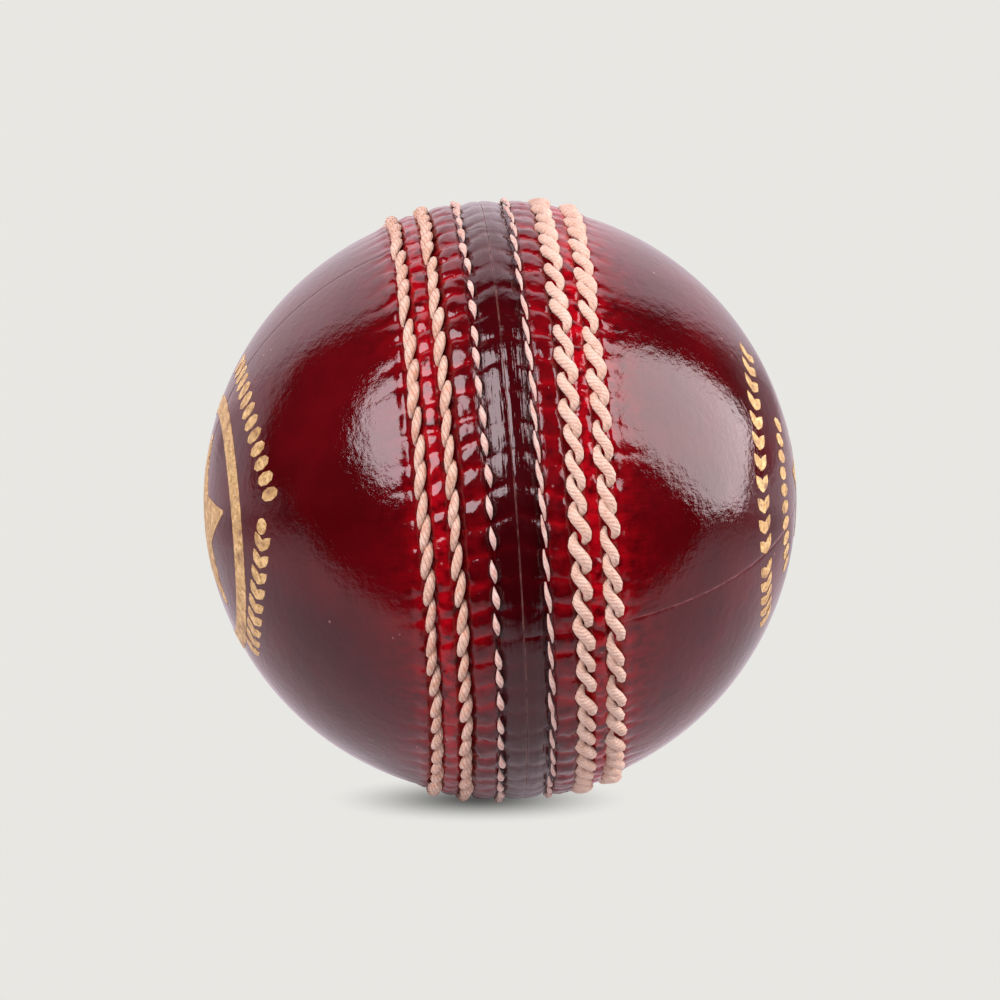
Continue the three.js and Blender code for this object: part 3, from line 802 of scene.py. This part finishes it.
HIDDEN_FINISHES = (
    ("core_nut", core), ("yarn", yarn), ("cork", cork), ("left_lining", suede), ("right_lining", suede),
    ("left_join", closing_thread), ("right_join", closing_thread),
)
for name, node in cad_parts.items():
    for start, material in HIDDEN_FINISHES:
        if name.startswith(start):
            node.data.materials.clear()
            node.data.materials.append(material)


# ---- the studio ----

CAMERA_DISTANCE = 750.0
CAMERA_ELEVATION = 6.4
CAMERA_AZIMUTH = -3.3
LEAN = 3.9  # degrees that the seam leans to the left as the viewer sees it
LENS_MM = 223.6
BACKGROUND = "#e8e7e3"
REFLECTED_TINT = "#ffeef8"  # the pale room as the lacquer shows it
FLOOR_HEIGHT = -36.5
FLOOR_REACH = 20.0  # metres
# Where the painted shadow under the ball lies, and how far it reaches
PAINTED_SHADOW_SIDEWAYS = -2.5
PAINTED_SHADOW_RADIUS = 19.0

scene = bpy.context.scene
scene.view_settings.view_transform = "Standard"

lean = Matrix.Rotation(math.radians(LEAN), 4, "Y")  # takes the studio's upright to the ball's own frame


def aimed(location, target=(0, 0, 0)):
    """The matrix of a lamp or camera at a place in the studio that looks at a target, in metres."""
    place, goal = Vector(location), Vector(target)
    turn = (goal - place).to_track_quat("-Z", "Y").to_matrix().to_4x4()
    return lean @ Matrix.Translation(place) @ turn


def on_sphere(azimuth, elevation, distance):
    """A place round the ball, in metres. Azimuth 0 is in front, and 90 is on the right."""
    a, e = math.radians(azimuth), math.radians(elevation)
    return Vector((math.sin(a) * math.cos(e), -math.cos(a) * math.cos(e), math.sin(e))) * distance * MM


camera = bpy.data.objects.new("camera", bpy.data.cameras.new("camera"))
camera.data.lens = LENS_MM
camera.data.sensor_width = 36.0
camera.data.clip_start, camera.data.clip_end = 0.01, 50.0
camera.matrix_world = aimed(on_sphere(CAMERA_AZIMUTH, CAMERA_ELEVATION, CAMERA_DISTANCE))
scene.collection.objects.link(camera)
scene.camera = camera

floor_mesh = bpy.data.meshes.new("floor")
corners = [(x * FLOOR_REACH, y * FLOOR_REACH) for x, y in ((-1, -1), (1, -1), (1, 1), (-1, 1))]
floor_mesh.from_pydata([lean @ Vector((x, y, FLOOR_HEIGHT * MM)) for x, y in corners], [], [(0, 1, 2, 3)])
floor = bpy.data.objects.new("floor", floor_mesh)
scene.collection.objects.link(floor)

# Pale paper that glows evenly by itself, with a painted shadow close under the ball. The distances are in
# metres.
paper, tree, shader = start_material("pale_paper_floor")
tree.nodes.remove(shader)
place = add(tree, "ShaderNodeTexCoord", out="Object")
# Painted shadow: the floor's glow is drawn darker close under the ball, for the camera and the lacquer alike
painted_shadow_centre = lean @ Vector((PAINTED_SHADOW_SIDEWAYS * MM, 0, FLOOR_HEIGHT * MM))
spot = add(tree, "ShaderNodeVectorMath", place, tuple(painted_shadow_centre), operation="DISTANCE", out="Value")
painted_shadow = add(tree, RANGE, spot, 0.0, PAINTED_SHADOW_RADIUS * MM, 0.10, 1.0, interpolation_type="SMOOTHSTEP")

# In the lacquer the floor shows beside and behind the ball, and not in front of it. It also lights the
# threads a little.
seen = add(tree, "ShaderNodeLightPath", out="Is Camera Ray")
depth = add(tree, SEPARATE, place, out="Y")
fading = add(tree, RANGE, spot, 0.12, 0.4, 0.85, 0.02)
front_edge = add(tree, RANGE, depth, -0.065, -0.048)
near = add(tree, MATH, fading, front_edge, operation="MULTIPLY")
behind = add(tree, RANGE, depth, 0.03, 0.25, 0.0, 0.75)
mirrored = add(tree, MATH, near, behind, operation="MAXIMUM")
scattered = add(tree, "ShaderNodeLightPath", out="Is Diffuse Ray")
lighting = add(tree, MATH, scattered, 0.75, operation="MULTIPLY")
unseen = add(tree, MATH, mirrored, lighting, operation="MAXIMUM")
strength = add(tree, MIX, seen, unseen, 1.0)
strength = add(tree, MATH, strength, painted_shadow, operation="MULTIPLY")
paper_colour = add(tree, MIX, seen, linear(REFLECTED_TINT), linear(BACKGROUND), data_type="RGBA")
# The paper glows by itself; no lamp lights it
glowing_paper = add(tree, "ShaderNodeEmission", paper_colour, strength)
tree.links.new(glowing_paper, tree.nodes["Material Output"].inputs["Surface"])
floor_mesh.materials.append(paper)


def lamp(name, azimuth, elevation, distance, width, height, radiance, colour, roll=0.0, shape="RECTANGLE"):
    """A softbox of that size in millimetres that lights the ball."""
    light = bpy.data.lights.new(name, "AREA")
    light.shape = shape
    light.size, light.size_y = width * MM, height * MM
    light.energy = radiance * math.pi * light.size * light.size_y
    light.color = linear(colour)[:3]
    holder = bpy.data.objects.new(name, light)
    rolled = Matrix.Rotation(math.radians(roll), 4, "Z")
    holder.matrix_world = aimed(on_sphere(azimuth, elevation, distance)) @ rolled
    holder.visible_camera = False
    scene.collection.objects.link(holder)
    return holder


lamp("left_umbrella", -38.5, 33, 600, 530, 530, 6.2, "#fff0f7", shape="ELLIPSE")
lamp("right_softbox", 82, 23, 600, 740, 430, 6.3, "#fff1f4", roll=-43)
lamp("front_fill", 5, 10, 1500, 1600, 1400, 0.03, "#ffffff")

# The room is dark in front and bright behind, where a white backdrop curves up over the ball
world = bpy.data.worlds.new("studio")
world.use_nodes = True
scene.world = world
tree = world.node_tree
tree.nodes.clear()
seen = add(tree, "ShaderNodeLightPath", out="Is Camera Ray")
look = add(tree, "ShaderNodeTexCoord", out="Generated")
x = add(tree, SEPARATE, look, out="X")
y = add(tree, SEPARATE, look, out="Y")
z = add(tree, SEPARATE, look, out="Z")
arch = add(tree, MATH, z, 0.82, y, operation="MULTIPLY_ADD")
curved = add(tree, RANGE, arch, 0.85, 1.0, 0.0, 1.0, interpolation_type="SMOOTHSTEP")
brighter_up = add(tree, RANGE, z, 0.0, 0.6, 0.8, 1.75)
above = add(tree, MATH, curved, brighter_up, operation="MULTIPLY")
at_left = add(tree, RANGE, x, -0.4, -0.65, 0.0, 0.9)
at_back = add(tree, RANGE, y, 0.38, 0.5, 0.0, 1.0)
left_wall = add(tree, MATH, at_left, at_back, operation="MULTIPLY")
back_wall = add(tree, RANGE, y, 0.5, 0.7, 0.02, 0.35)
walls = add(tree, MATH, left_wall, back_wall, operation="MAXIMUM")
reflected = add(tree, MATH, above, walls, operation="MAXIMUM")
scattered = add(tree, "ShaderNodeLightPath", out="Is Diffuse Ray")
dimmed = add(tree, RANGE, scattered, 0.0, 1.0, 1.0, 0.35)
reflected = add(tree, MATH, reflected, dimmed, operation="MULTIPLY")
strength = add(tree, MIX, seen, reflected, 1.0)
colour = add(tree, MIX, seen, linear(REFLECTED_TINT), linear(BACKGROUND), data_type="RGBA")
background = add(tree, "ShaderNodeBackground", colour, strength)
tree.links.new(background, tree.nodes.new("ShaderNodeOutputWorld").inputs[0])
